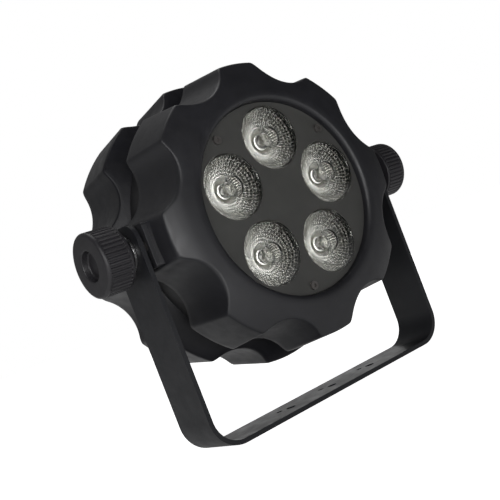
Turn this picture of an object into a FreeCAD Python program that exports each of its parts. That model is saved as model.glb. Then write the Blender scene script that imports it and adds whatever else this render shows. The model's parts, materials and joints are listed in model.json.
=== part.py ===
"""Par can light: a scalloped lamp head that tilts in a strap yoke and is clamped by two hand knobs.

Row frame, in millimetres: +Z up, X along the tilt axis, and the head looks along -Y.
The origin is on the underside of the yoke's cross-bar, midway along it and across it.
Inside the head, places are given as a depth behind the lens panel's front face.
"""
import FreeCAD, Part
import math
import os

from FreeCAD import Vector

# ---- driving dimensions ------------------------------------------------------------------

PIVOT_HEIGHT = 130.7       # tilt axis above the underside of the cross-bar
PIVOT_DEPTH = 34.0         # tilt axis behind the front face of the lens panel
SIDES = {"left": -1, "right": 1}

# Yoke: a flat steel bar bent into a U
YOKE_HALF = 104.0          # middle to the outer face of an arm
YOKE_BAR = 3.0             # thickness of the bar
YOKE_WIDTH = 36.0
YOKE_CORNER = 20.0         # outer bend radius
ARM_TOP = 16.0             # arm's end above the tilt axis
ARM_TOP_ROUND = 11.0
YOKE_HOLE_PITCH = 38.0     # between the three pairs of holes in the cross-bar
CLAMP_HOLE = 3.25          # radius of the larger hole of each pair
LOCATING_HOLE = 2.1        # radius of the smaller one
YOKE_HOLE_OFFSET = (3.2, 2.4)

# Housing: eight teeth round the rim, with a scallop between each two
TEETH = 8
WALL = 3.0
PANEL_VIEW = 64.6          # bore of the lip round the lens panel
LIP_DEPTH = -5.0           # the lip's crest stands this far in front of the panel
FRONT_RIM = (92.0, 1.0)    # radius, depth
FRONT_BACK = (96.0, 39.0)
WAIST_RADIUS = 84.0
WAIST_BORE = 77.5
SHOULDER_DEPTH = 54.0
REAR_FRONT = (101.0, 63.0)
REAR_RIM = (96.6, 107.0)
SIDE_FLAT = 98.5           # the rear shell's side teeth are cut flat here to pass the yoke arms
# Scallop cutters: (depth, cutter radius, distance of the cutter's centre from the head's axis)
FRONT_SCALLOP = ((1.3, 29.5, 109.5), (39.0, 28.5, 114.0))
REAR_SCALLOP = ((64.0, 28.5, 118.0), (107.0, 29.5, 117.0))

# Lens panel and optics
PANEL_RADIUS = 64.3
PANEL_THICK = 2.5
LENS_COUNT = 5
LENS_RADIUS = 21.2
LENS_RING = 40.6           # lens centres from the head's axis
LENS_FIRST = 11.9          # degrees from +X towards +Z
LENS_PROUD = 0.8
LENS_BACK = 20.0
LENS_BACK_RADIUS = 8.0
LENS_CONE_INSET = 1.4      # the cone starts this far inside the lens's rim
LENS_POCKET = (5.5, 13.0)  # radius and floor depth of the emitter's pocket
HOLDER_RADIUS = 23.0
HOLDER_WINDOW = 9.0
LED_PACKAGE = (10.0, 1.2)  # side and thickness
LED_DOME = 3.4
POST_RADIUS = 4.5
POST_RING = 59.2           # panel screws from the head's axis
TOP_LENS = LENS_FIRST + 72.0
POST_ANGLES = (TOP_LENS - 44.3, TOP_LENS + 44.3, TOP_LENS + 180.0)

# Light engine, from front to back
BOARD_DEPTH = 24.0         # front face of the LED board
BOARD_THICK = 1.6
BOARD_RADIUS = 70.0
SINK_RADIUS = 75.5
SINK_BASE = 6.0
FIN_PITCH = 8.0
FIN_THICK = 2.0
FIN_BACK = 56.0
BRACKET_DEPTH = 58.0
BRACKET_THICK = 1.5
BRACKET_RADIUS = 72.0
POWER_BOARD_DEPTH = 64.0
POWER_BOARD = (120.0, 58.0)
STANDOFF = (54.0, 22.0)    # x and z of the standoffs that carry the power board
CABLE_RADIUS = 2.5
SINK_POST = 4.5            # radius of the bosses under the bracket
SPACER_RADIUS = 3.2        # across the corners of a hexagon spacer, halved
TRANSFORMER = (-22, 12, 30, 24, 13)    # components of the power board: x, z, width, height, standing
TRANSFORMER_CORE = (-22, 12, 12, 30, 9)
REGULATOR = (40, 14, 3, 18, 12)
TERMINALS = (6, -20, 26, 8, 8)
RELAY = (34, -18, 16, 10, 9)
RESERVOIRS = (6.5, 14.0, (6, 22))      # radius, standing, x of each
CHOKE = (7.0, 3.0, -38, -14)

# Tilt pivot: plate, washers, insert and the knob's stud, along X from the head outwards
BOSS_INNER = 79.0
PLATE_INNER = 96.0
PLATE_OUTER = 99.0
PLATE_HALF = 14.0
PLATE_DEPTHS = (14.0, 53.6)
FRICTION_OUTER = 100.9
FRICTION_RADIUS = 15.0
INSERT_RADIUS = 6.0
STUD_RADIUS = 4.0
STUD_CLEAR = 0.25          # of the plain holes that the stud passes
STUD_RUNNING = 0.05        # radial clearance of the stud in the insert
STUD_INNER = 80.0
STUD_OUTER = 121.0
PIVOT_HOLE = 4.5
PLATE_SCREWS = (19.5, 45.0)            # depths
PLATE_SINK = 1.6           # depth of the countersinks
WASHER_FACES = (104.1, 105.6)
WASHER_RADIUS = 12.0

# Hand knob
KNOB_OUTER = 129.3
KNOB_RADIUS = 20.0
KNOB_HUB = 11.5            # radius of the hub that stands on the washer
KNOB_INNER = 110.8         # inner face of the gripped part
KNOB_FLANGE = 112.7        # end of its plain inner flange
KNOB_RIB_END = 126.9
KNOB_RIBS = 44
KNOB_RIB_CUT = 0.75        # radius of the grooves between ribs
DIMPLE_RADIUS = 9.5
DIMPLE_DEPTH = 4.5

# Rear panel and what it carries
REAR_PANEL_RADIUS = 83.5
REAR_PANEL_DEPTH = 95.0
REAR_PANEL_THICK = 2.0
REAR_FACE = REAR_PANEL_DEPTH + REAR_PANEL_THICK
LEDGE_FRONT = 92.0
REAR_SCREW_RING = 80.7
SHELL_SCREW_RING = 80.75
DISPLAY = (0.0, 41.0)
DISPLAY_OPENING = (46.0, 18.0)
CONTROL_BOARD_DEPTH = 83.0
CONTROL_BOARD = (92.0, 50.0)
CONTROL_CENTRE = (0.0, 30.0)
CONTROL_POSTS = (42.0, 21.0)
BUTTON_X = (-30.0, -10.0, 10.0, 30.0)
BUTTON_Z = 16.0
BUTTON_RADIUS = 4.0
BUTTON_PROUD = 1.8
BUTTON_STEM = 1.8
BUTTON_GAP = 1.15          # between a stem and its switch
SWITCH_HEIGHT = 3.4
DIGIT_X = (-18, -6, 6, 18)
VENT = (14.0, 2.4, 6.0)    # length, width and spacing of the rear slots
VENT_X = 61.0
DMX_X = 29.0
DMX_Z = -14.0
DMX_FLANGE = (26.0, 31.0)
DMX_FLANGE_THICK = 2.5
DMX_BODY = 11.8
DMX_SCREW = (9.5, 12.0)
DMX_BACK = 78.0
DMX_BORE = 9.4
DMX_FLOOR = 84.0
DMX_PIN = 1.2
DMX_CONTACT = 1.4
DMX_CONTACT_RING = 4.2
LATCH_Z = 12.4             # latch tab above the socket's centre
LATCH = (6.8, 3.6)
POWER_X = 22.0
POWER_Z = -50.0
INLET_FLANGE = (31.0, 30.0)
INLET_BODY = (27.0, 26.0)
OUTLET_FLANGE = (31.0, 25.0)
OUTLET_BODY = (27.0, 20.0)
INLET_CAVITY = (24.6, 16.4)
INLET_CAVITY_Z = 4.4       # cavity above the inlet's centre
FUSE_Z = -9.6              # fuse drawer below the inlet's centre
FUSE_SLOT = (22.0, 7.0)
FUSE_AXIS = 82.7
SOCKET_FACE = 2.0          # thickness of the power sockets' flanges
INLET_BACK = 73.0
INLET_FLOOR = 83.0
FUSE_SLOT_FLOOR = 75.0
OUTLET_BACK = 76.0
POWER_CONTACTS = ((-7, -1.5), (0, 2.0), (7, -1.5))
EYE_Z = 66.0
EYE_FOOT = (34.0, 7.6, 1.5)
EYE_SCREW_X = 12.5
EYE_WIRE = 1.6
EYE_LOOP = 7.0

# screws: radii of shank, hole and head
M3 = 1.5
M3_HOLE = 1.55
HEAD_RADIUS = 2.8
M4 = 1.95
M4_HEAD = 3.6
M4_HOLE = 2.0
HEAD_HEIGHT = 1.8

ALONG_X = Vector(1, 0, 0)
ALONG_Y = Vector(0, 1, 0)
ALONG_Z = Vector(0, 0, 1)


# ---- shape helpers -----------------------------------------------------------------------

def head_point(x, depth, z):
    """A point given in the head's own terms, in the row frame."""
    return Vector(x, depth - PIVOT_DEPTH, z + PIVOT_HEIGHT)


def polar(radius, degrees):
    """X and Z of a point on the lens panel."""
    turn = math.radians(degrees)
    return radius * math.cos(turn), radius * math.sin(turn)


def disc(radius, front, back, x=0.0, z=0.0):
    """Cylinder along the head's optical axis between two depths."""
    return Part.makeCylinder(radius, back - front, head_point(x, front, z), ALONG_Y)


def ring(outer, inner, front, back, x=0.0, z=0.0):
    return disc(outer, front, back, x, z).cut(disc(inner, front - 1, back + 1, x, z))


def block(x, z, width, height, front, back):
    """Box centred on (x, z) between two depths."""
    corner = head_point(x - width / 2, front, z - height / 2)
    return Part.makeBox(width, back - front, height, corner)


def cross_pin(radius, x_from, x_to, depth=PIVOT_DEPTH, z=0.0):
    """Cylinder along X between two distances from the middle, on either side."""
    low, high = sorted((x_from, x_to))
    return Part.makeCylinder(radius, high - low, head_point(low, depth, z), ALONG_X)


def rounded_wire(corners):
    """Closed wire through corners of (point, rounding radius)."""
    edges = []
    joints = []
    for i, (corner, radius) in enumerate(corners):
        before = (corners[i - 1][0] - corner).normalize()
        after = (corners[(i + 1) % len(corners)][0] - corner).normalize()
        half = before.getAngle(after) / 2
        reach = radius / math.tan(half)
        start = corner + before * reach
        end = corner + after * reach
        if radius > 0:
            middle = corner + (before + after).normalize() * (radius / math.sin(half) - radius)
            edges.append(Part.Arc(start, middle, end).toShape())
        joints.append((start, end))
    for i, (start, _) in enumerate(joints):
        edges.append(Part.makeLine(joints[i - 1][1], start))
    return Part.Wire(Part.__sortEdges__(edges))


def lathe(profile):
    """Solid turned about the optical axis from corners of (radius, depth, rounding)."""
    wire = rounded_wire([(head_point(r, depth, 0), rounding) for r, depth, rounding in profile])
    return Part.Face(wire).revolve(head_point(0, 0, 0), ALONG_Y, 360)


def cut_all(shape, cutters):
    return shape.cut(Part.makeCompound(cutters))


def scallop_cutters(ends, grow=0.0):
    """Round cutters between the teeth, tapered and leaning as the housing flares."""
    (front, front_cut, front_centre), (back, back_cut, back_centre) = ends
    overrun = 12.0
    slope = (back_centre - front_centre) / (back - front)
    taper = (back_cut - front_cut) / (back - front)
    cutters = []
    for i in range(TEETH):
        angle = 360.0 / TEETH * (i + 0.5)
        low = head_point(0, front - overrun, 0)
        high = head_point(0, back + overrun, 0)
        x, z = polar(1.0, angle)
        outward = Vector(x, 0, z)
        low += outward * (front_centre - slope * overrun)
        high += outward * (back_centre + slope * overrun)
        r_low = front_cut + grow - taper * overrun
        r_high = back_cut + grow + taper * overrun
        cutters.append(Part.makeCone(r_low, r_high, (high - low).Length, low, high - low))
    return cutters


def soften(shape, radius, wanted):
    """Round the edges that wanted() picks, or keep them sharp if they can't be rounded."""
    edges = [edge for edge in shape.Edges if wanted(edge)]
    rounded = shape.makeFillet(radius, edges)
    return rounded if rounded.isValid() and rounded.Volume > 0 else shape


def screw(x, z, seat, tip, head=HEAD_RADIUS, shank=M3):
    """Pan-head screw whose head sits on the seat depth and whose shank ends at the tip."""
    outward = -1 if tip > seat else 1
    top = seat + outward * HEAD_HEIGHT
    body = disc(shank, min(seat, tip), max(seat, tip), x, z)
    cap = disc(head, min(seat, top), max(seat, top), x, z)
    socket_floor = top - outward * 1.0
    socket = disc(1.2, min(top, socket_floor), max(top, socket_floor), x, z)
    return body.fuse(cap).cut(socket)


# ---- yoke --------------------------------------------------------------------------------

def u_face(half, foot, corner):
    """Side-on outline of a U that is open at the top."""
    top = PIVOT_HEIGHT + ARM_TOP + 1
    return Part.Face(rounded_wire([
        (Vector(-half, -YOKE_WIDTH / 2, top), 0),
        (Vector(-half, -YOKE_WIDTH / 2, foot), corner),
        (Vector(half, -YOKE_WIDTH / 2, foot), corner),
        (Vector(half, -YOKE_WIDTH / 2, top), 0),
    ]))


def make_yoke():
    across = Vector(0, YOKE_WIDTH, 0)
    outer = u_face(YOKE_HALF, 0, YOKE_CORNER).extrude(across)
    inner = u_face(YOKE_HALF - YOKE_BAR, YOKE_BAR, YOKE_CORNER - YOKE_BAR).extrude(across)
    half = YOKE_WIDTH / 2
    top = PIVOT_HEIGHT + ARM_TOP
    side = Part.Face(rounded_wire([
        (Vector(-YOKE_HALF - 1, -half, -1), 0),
        (Vector(-YOKE_HALF - 1, half, -1), 0),
        (Vector(-YOKE_HALF - 1, half, top), ARM_TOP_ROUND),
        (Vector(-YOKE_HALF - 1, -half, top), ARM_TOP_ROUND),
    ])).extrude(Vector(2 * YOKE_HALF + 2, 0, 0))
    holes = [cross_pin(PIVOT_HOLE, -YOKE_HALF - 1, YOKE_HALF + 1)]
    along, across = YOKE_HOLE_OFFSET
    for step in (-1, 0, 1):
        x = step * YOKE_HOLE_PITCH
        for radius, sign in ((CLAMP_HOLE, 1), (LOCATING_HOLE, -1)):
            at = Vector(x + sign * along, -sign * across, -1)
            holes.append(Part.makeCylinder(radius, YOKE_BAR + 2, at, ALONG_Z))
    return cut_all(outer.cut(inner).common(side), holes)


# ---- housing -----------------------------------------------------------------------------

def shell_screw_places():
    return [polar(SHELL_SCREW_RING, 45 + 90 * i) for i in range(4)]


def is_scallop_edge(edge):
    """Edges where a scallop meets the turned outside, away from the flat rear faces."""
    box = edge.BoundBox
    return box.XLength > 0.5 and box.YLength > 4.0 and box.ZLength > 0.5


def make_front_shell():
    rim_r, rim_depth = FRONT_RIM
    back_r, back_depth = FRONT_BACK
    outside = lathe([
        (PANEL_VIEW, back_depth, 0),
        (PANEL_VIEW, LIP_DEPTH, 3.2),
        (70.2, LIP_DEPTH, 20.0),
        (81.2, LIP_DEPTH + 1.8, 55.0),
        (rim_r, rim_depth, 3.0),
        (back_r, back_depth, 0),
    ])
    outside = cut_all(outside, scallop_cutters(FRONT_SCALLOP))
    outside = soften(outside, 3.0, is_scallop_edge)
    lip = PANEL_VIEW + WALL
    inside = lathe([
        (0, 5.0, 0), (lip, 5.0, 0), (lip, -1.2, 0), (80.0, 0.2, 0), (88.4, 4.2, 0),
        (92.8, back_depth - WALL, 0), (WAIST_BORE, back_depth - WALL, 0),
        (WAIST_BORE, back_depth + 1, 0), (0, back_depth + 1, 0),
    ])
    inside = cut_all(inside, scallop_cutters(FRONT_SCALLOP, WALL))
    shell = outside.cut(inside)
    added = []
    for angle in POST_ANGLES:
        x, z = polar(POST_RING, angle)
        added.append(disc(POST_RADIUS, PANEL_THICK, BOARD_DEPTH, x, z))
        web = Part.makeBox(20.0, 12.0, 3.0, head_point(POST_RING, PANEL_THICK, -1.5))
        web.rotate(head_point(0, 0, 0), ALONG_Y, -angle)
        added.append(web)
    for sign in SIDES.values():
        middle = sign * (BOSS_INNER + PLATE_INNER) / 2
        added.append(block(middle, 0, PLATE_INNER - BOSS_INNER, 2 * PLATE_HALF - 1, 15.0, 48.0))
    holes = [cross_pin(INSERT_RADIUS, BOSS_INNER - 1, PLATE_INNER + 1)]
    holes.append(cross_pin(INSERT_RADIUS, -BOSS_INNER + 1, -PLATE_INNER - 1))
    for x, z in shell_screw_places():
        holes.append(disc(M4_HOLE, back_depth - WALL - 1, back_depth + 1, x, z))
    for angle in POST_ANGLES:
        x, z = polar(POST_RING, angle)
        holes.append(disc(M3_HOLE, PANEL_THICK - 1, PANEL_THICK + 9, x, z))
        holes.append(disc(M3_HOLE, BOARD_DEPTH - 9, BOARD_DEPTH + 1, x, z))
    for sign in SIDES.values():
        for depth in PLATE_SCREWS:
            holes.append(cross_pin(M3_HOLE, sign * (PLATE_INNER - 10), sign * (PLATE_INNER + 1), depth))
    return cut_all(shell.multiFuse(added), holes)


def make_waist_band():
    band = ring(WAIST_RADIUS, WAIST_BORE, FRONT_BACK[1], SHOULDER_DEPTH)
    notches = [block(0, 0, 2 * WAIST_RADIUS + 2, 2 * PLATE_HALF + 0.4, FRONT_BACK[1] - 1, 48.4)]
    for x, z in shell_screw_places():
        notches.append(disc(M4_HOLE + 0.1, FRONT_BACK[1] - 1, SHOULDER_DEPTH + 1, x, z))
    return cut_all(band, notches)


def make_rear_shell():
    front_r, front_depth = REAR_FRONT
    rim_r, rim_depth = REAR_RIM
    dish = REAR_PANEL_RADIUS + 0.3
    outside = lathe([
        (WAIST_BORE, SHOULDER_DEPTH, 0),
        (WAIST_RADIUS, SHOULDER_DEPTH, 0.8),
        (front_r, front_depth, 3.5),
        (rim_r, rim_depth, 3.0),
        (dish, rim_depth, 0.8),
        (dish, REAR_PANEL_DEPTH, 0),
        (WAIST_BORE, REAR_PANEL_DEPTH, 0),
    ])
    outside = cut_all(outside, scallop_cutters(REAR_SCALLOP))
    outside = soften(outside, 2.8, is_scallop_edge)
    outside = outside.common(block(0, 0, 2 * SIDE_FLAT, 240, 0, 120))
    inside = lathe([
        (WAIST_BORE - 4, SHOULDER_DEPTH + WALL, 0),
        (84.6, SHOULDER_DEPTH + WALL, 0),
        (97.6, 65.4, 0),
        (94.9, LEDGE_FRONT, 0),
        (WAIST_BORE - 4, LEDGE_FRONT, 0),
    ])
    inside = cut_all(inside, scallop_cutters(REAR_SCALLOP, WALL))
    inside = inside.common(block(0, 0, 2 * (SIDE_FLAT - WALL), 240, 0, 120))
    holes = [inside]
    for x, z in shell_screw_places():
        holes.append(disc(M4_HOLE + 0.1, SHOULDER_DEPTH - 1, SHOULDER_DEPTH + WALL + 1, x, z))
    for x, z in rear_screw_places():
        holes.append(disc(M3_HOLE, LEDGE_FRONT - 1, REAR_PANEL_DEPTH + 1, x, z))
    return cut_all(outside, holes)


def make_shell_screws():
    """Long M4 screws that draw the rear shell and the waist band onto the front shell."""
    seat = SHOULDER_DEPTH + WALL
    tip = FRONT_BACK[1] - WALL
    return [screw(x, z, seat, tip, M4_HEAD, M4) for x, z in shell_screw_places()]


# ---- optics ------------------------------------------------------------------------------

def lens_places():
    return [polar(LENS_RING, LENS_FIRST + 360.0 / LENS_COUNT * i) for i in range(LENS_COUNT)]


def post_places():
    return [polar(POST_RING, angle) for angle in POST_ANGLES]


def make_lens_panel():
    holes = [disc(LENS_RADIUS + 0.1, -1, PANEL_THICK + 1, x, z) for x, z in lens_places()]
    holes += [disc(M3_HOLE, -1, PANEL_THICK + 1, x, z) for x, z in post_places()]
    return cut_all(disc(PANEL_RADIUS, 0, PANEL_THICK), holes)


def make_lens(x, z):
    """Collimator: a flat-fronted disc, a cone behind it and a pocket for the emitter."""
    flange = disc(LENS_RADIUS, -LENS_PROUD, PANEL_THICK, x, z)
    height = LENS_BACK - PANEL_THICK
    at = head_point(x, PANEL_THICK, z)
    cone = Part.makeCone(LENS_RADIUS - LENS_CONE_INSET, LENS_BACK_RADIUS, height, at, ALONG_Y)
    pocket_radius, pocket_floor = LENS_POCKET
    pocket = disc(pocket_radius, pocket_floor, LENS_BACK + 1, x, z)
    return flange.fuse(cone).cut(pocket)


def make_lens_holder(x, z):
    cup = disc(HOLDER_RADIUS, PANEL_THICK, BOARD_DEPTH, x, z)
    bowl = disc(LENS_RADIUS - 1.0, PANEL_THICK - 1, BOARD_DEPTH - 2, x, z)
    window = disc(HOLDER_WINDOW, PANEL_THICK, BOARD_DEPTH + 1, x, z)
    return cut_all(cup, [bowl, window])


def make_led(x, z):
    """Emitter: a square package with a clear dome."""
    side, thick = LED_PACKAGE
    front = BOARD_DEPTH - thick
    package = block(x, z, side, side, front, BOARD_DEPTH)
    dome = Part.makeSphere(LED_DOME, head_point(x, front, z))
    keep = disc(LED_DOME + 0.6, front - LED_DOME - 1, front + 0.2, x, z)
    return package.fuse(dome.common(keep))


def make_led_board():
    back = BOARD_DEPTH + BOARD_THICK
    holes = [disc(M3_HOLE, BOARD_DEPTH - 1, back + 1, x, z) for x, z in post_places()]
    holes.append(disc(CABLE_RADIUS + 0.5, BOARD_DEPTH - 1, back + 1))
    return cut_all(disc(BOARD_RADIUS, BOARD_DEPTH, back), holes)


def standoff_places():
    x, z = STANDOFF
    return [(x, z), (-x, z), (-x, -z), (x, -z)]


def make_heat_sink():
    front = BOARD_DEPTH + BOARD_THICK
    base_back = front + SINK_BASE
    count = int((SINK_RADIUS - 4) / FIN_PITCH)
    fins = [block(FIN_PITCH * i, 0, FIN_THICK, 200, base_back - 1, FIN_BACK)
            for i in range(-count, count + 1)]
    fins = Part.makeCompound(fins).common(disc(SINK_RADIUS - 1.5, front, FIN_BACK))
    clear = [disc(5.0, base_back, FIN_BACK + 1, x, z) for x, z in post_places()]
    clear.append(disc(6.0, base_back, FIN_BACK + 1))
    fins = cut_all(fins, clear)
    posts = [disc(SINK_POST, base_back - 1, BRACKET_DEPTH, x, z) for x, z in standoff_places()]
    sink = disc(SINK_RADIUS, front, base_back).multiFuse(fins.Solids + posts)
    holes = [disc(M3_HOLE, front - 1, base_back + 1, x, z) for x, z in post_places()]
    holes += [disc(M3_HOLE, BRACKET_DEPTH - 8, BRACKET_DEPTH + 1, x, z)
              for x, z in standoff_places()]
    holes.append(disc(CABLE_RADIUS + 0.5, front - 1, base_back + 1))
    return cut_all(sink, holes)


def make_heat_sink_screws():
    seat = BOARD_DEPTH + BOARD_THICK + SINK_BASE
    return [screw(x, z, seat, BOARD_DEPTH - 8) for x, z in post_places()]


# ---- electronics -------------------------------------------------------------------------

def make_board_bracket():
    back = BRACKET_DEPTH + BRACKET_THICK
    plate = disc(BRACKET_RADIUS, BRACKET_DEPTH, back)
    holes = [disc(M3_HOLE, BRACKET_DEPTH - 1, back + 1, x, z) for x, z in standoff_places()]
    holes.append(disc(8.0, BRACKET_DEPTH - 1, back + 1))
    for sign in (-1, 1):
        holes.append(block(0, sign * 50, 60, 16, BRACKET_DEPTH - 1, back + 1))
    return cut_all(plate, holes)


def make_board_standoffs():
    """Male-female hexagon spacers: the stud goes through the bracket into the heat sink."""
    seat = BRACKET_DEPTH + BRACKET_THICK
    spacers = []
    for x, z in standoff_places():
        corners = [polar(SPACER_RADIUS, 60 * i) for i in range(6)]
        outline = Part.makePolygon([head_point(x + a, seat, z + b) for a, b in corners]
                                   + [head_point(x + SPACER_RADIUS, seat, z)])
        body = Part.Face(outline).extrude(Vector(0, POWER_BOARD_DEPTH - seat, 0))
        stud = disc(M3, BRACKET_DEPTH - 7, seat + 1, x, z)
        socket = disc(M3_HOLE, POWER_BOARD_DEPTH - 3, POWER_BOARD_DEPTH + 1, x, z)
        spacers.append(body.fuse(stud).cut(socket))
    return spacers


def make_power_supply_board():
    back = POWER_BOARD_DEPTH + BOARD_THICK
    width, height = POWER_BOARD
    board = block(0, 0, width, height, POWER_BOARD_DEPTH, back)
    holes = [disc(M3_HOLE, POWER_BOARD_DEPTH - 1, back + 1, x, z) for x, z in standoff_places()]
    parts = []
    for x, z, wide, high, standing in (TRANSFORMER, REGULATOR, TERMINALS, RELAY):
        parts.append(block(x, z, wide, high, back, back + standing))
    x, z, wide, high, standing = TRANSFORMER_CORE
    parts.append(block(x, z, wide, high, back + 2, back + 2 + standing))
    radius, standing, places = RESERVOIRS
    parts += [disc(radius, back, back + standing, x, TRANSFORMER[1] + 2) for x in places]
    outer, inner, x, z = CHOKE
    parts.append(ring(outer, inner, back, back + outer, x, z))
    return cut_all(board, holes).multiFuse(parts)


def control_post_places():
    cx, cz = CONTROL_CENTRE
    x, z = CONTROL_POSTS
    return [(cx + x, cz + z), (cx - x, cz + z), (cx - x, cz - z), (cx + x, cz - z)]


def make_control_board():
    back = CONTROL_BOARD_DEPTH + BOARD_THICK
    x, z = CONTROL_CENTRE
    width, height = CONTROL_BOARD
    board = block(x, z, width, height, CONTROL_BOARD_DEPTH, back)
    holes = [disc(M3_HOLE, CONTROL_BOARD_DEPTH - 1, back + 1, px, pz)
             for px, pz in control_post_places()]
    switches = [block(bx, BUTTON_Z, 6, 6, back, back + SWITCH_HEIGHT) for bx in BUTTON_X]
    return cut_all(board, holes).multiFuse(switches)


def make_board_screws():
    """M3 screws: four hold the power board, four hold the control board."""
    back = POWER_BOARD_DEPTH + BOARD_THICK
    power = [screw(x, z, back, POWER_BOARD_DEPTH - 2.5) for x, z in standoff_places()]
    front = CONTROL_BOARD_DEPTH
    control = [screw(x, z, front, front + 7) for x, z in control_post_places()]
    return power + control


def make_display_module():
    x, z = DISPLAY
    back = CONTROL_BOARD_DEPTH + BOARD_THICK
    frame = block(x, z, 54, 22, back, back + 9)
    digits = [block(x + step, z, 9, 15, back + 8.4, back + 10) for step in DIGIT_X]
    return cut_all(frame, digits)


def make_display_window():
    x, z = DISPLAY
    width, height = DISPLAY_OPENING
    flange = block(x, z, width + 5, height + 4, REAR_PANEL_DEPTH - 1, REAR_PANEL_DEPTH)
    pane = block(x, z, width - 0.2, height - 0.2, REAR_PANEL_DEPTH - 1, REAR_FACE + 0.4)
    return flange.fuse(pane)


def make_led_cable():
    """Straight run from the LED board to the power board, through the middle of the heat sink."""
    return disc(CABLE_RADIUS, BOARD_DEPTH, POWER_BOARD_DEPTH)


# ---- rear panel --------------------------------------------------------------------------

def rear_screw_places():
    return [polar(REAR_SCREW_RING, 30 + 60 * i) for i in range(6)]


def dmx_places():
    return {"in": (-DMX_X, DMX_Z), "out": (DMX_X, DMX_Z)}


def latch_slot(front, back):
    x, z = dmx_places()["out"]
    return block(x, z + LATCH_Z, LATCH[0] + 0.4, LATCH[1] + 0.4, front, back)


def fixing_places():
    """Screws that hold the two DMX sockets and the safety eye on the rear panel: (x, z, seat)."""
    places = []
    for x, z in dmx_places().values():
        for sign in (-1, 1):
            places.append((x + sign * DMX_SCREW[0], z - sign * DMX_SCREW[1],
                           REAR_FACE + DMX_FLANGE_THICK))
    for sign in (-1, 1):
        places.append((sign * EYE_SCREW_X, EYE_Z, REAR_FACE + EYE_FOOT[2]))
    return places


def make_rear_panel():
    panel = disc(REAR_PANEL_RADIUS, REAR_PANEL_DEPTH, REAR_FACE)
    posts = [disc(3.2, CONTROL_BOARD_DEPTH + BOARD_THICK, REAR_PANEL_DEPTH + 1, x, z)
             for x, z in control_post_places()]
    low = REAR_PANEL_DEPTH - 1
    high = REAR_FACE + 1
    holes = [disc(M3_HOLE, low, high, x, z) for x, z in rear_screw_places()]
    holes += [disc(M3_HOLE, low, high, x, z) for x, z, _ in fixing_places()]
    holes += [disc(M3_HOLE, CONTROL_BOARD_DEPTH, CONTROL_BOARD_DEPTH + 8, x, z)
              for x, z in control_post_places()]
    holes += [disc(BUTTON_RADIUS + 0.15, low, high, x, BUTTON_Z) for x in BUTTON_X]
    holes += [disc(DMX_BODY + 0.1, low, high, x, z) for x, z in dmx_places().values()]
    holes.append(latch_slot(low, high))
    holes.append(block(*DISPLAY, *DISPLAY_OPENING, low, high))
    holes.append(block(-POWER_X, POWER_Z, INLET_BODY[0] + 0.2, INLET_BODY[1] + 0.2, low, high))
    holes.append(block(POWER_X, POWER_Z, OUTLET_BODY[0] + 0.2, OUTLET_BODY[1] + 0.2, low, high))
    length, width, spacing = VENT
    for sign in (-1, 1):
        holes += [block(sign * VENT_X, spacing * row, length, width, low, high) for row in range(-3, 5)]
    return cut_all(panel.multiFuse(posts), holes)


def make_rear_panel_screws():
    """Identical M3 screws: six hold the panel, four the DMX sockets, two the safety eye."""
    screws = [screw(x, z, REAR_FACE, REAR_FACE - 8) for x, z in rear_screw_places()]
    screws += [screw(x, z, seat, seat - 8) for x, z, seat in fixing_places()]
    return screws


def make_menu_button(x):
    """Cap through the panel, a flange behind it and a stem over its switch."""
    inner = REAR_PANEL_DEPTH - 1.4
    top = REAR_FACE + BUTTON_PROUD
    stem_end = CONTROL_BOARD_DEPTH + BOARD_THICK + SWITCH_HEIGHT + BUTTON_GAP
    cap = disc(BUTTON_RADIUS, inner, top, x, BUTTON_Z)
    flange = disc(BUTTON_RADIUS + 1, inner, REAR_PANEL_DEPTH - 0.1, x, BUTTON_Z)
    stem = disc(BUTTON_STEM, stem_end, inner, x, BUTTON_Z)
    button = cap.multiFuse([flange, stem])
    return soften(button, 0.5, lambda edge: abs(edge.BoundBox.YMin + PIVOT_DEPTH - top) < 0.01)


def dmx_body(x, z):
    flange = block(x, z, *DMX_FLANGE, REAR_FACE, REAR_FACE + DMX_FLANGE_THICK)
    barrel = disc(DMX_BODY, DMX_BACK, REAR_FACE + 0.5, x, z)
    holes = [disc(M3_HOLE, REAR_FACE - 1, REAR_FACE + 4, x + s * DMX_SCREW[0], z - s * DMX_SCREW[1])
             for s in (-1, 1)]
    return flange.fuse(barrel), holes


def contact_places(x, z, radius):
    """Three contacts spread round the socket's centre."""
    return [(x + a, z + b) for a, b in (polar(radius, angle) for angle in (0, 180, 270))]


def make_dmx_in_socket():
    """Male chassis socket: an open barrel with three pins."""
    x, z = dmx_places()["in"]
    body, holes = dmx_body(x, z)
    face = REAR_FACE + DMX_FLANGE_THICK
    pins = [disc(DMX_PIN, DMX_FLOOR - 1, face - 3, px, pz)
            for px, pz in contact_places(x, z, DMX_CONTACT_RING)]
    return cut_all(body, holes + [disc(DMX_BORE, DMX_FLOOR, face + 1, x, z)]).multiFuse(pins)


def make_dmx_out_socket():
    """Female chassis socket: a solid insert with three contact holes in a narrow moat."""
    x, z = dmx_places()["out"]
    body, holes = dmx_body(x, z)
    face = REAR_FACE + DMX_FLANGE_THICK
    holes += [disc(DMX_CONTACT, face - 12, face + 1, px, pz)
              for px, pz in contact_places(x, z, DMX_CONTACT_RING)]
    holes.append(ring(DMX_BORE, DMX_BORE - 1.2, face - 10, face + 1, x, z))
    holes.append(latch_slot(93.0, face + 1))
    return cut_all(body, holes)


def make_dmx_out_latch():
    x, z = dmx_places()["out"]
    face = REAR_FACE + DMX_FLANGE_THICK
    return block(x, z + LATCH_Z, *LATCH, REAR_PANEL_DEPTH, face + 1.5)


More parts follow.
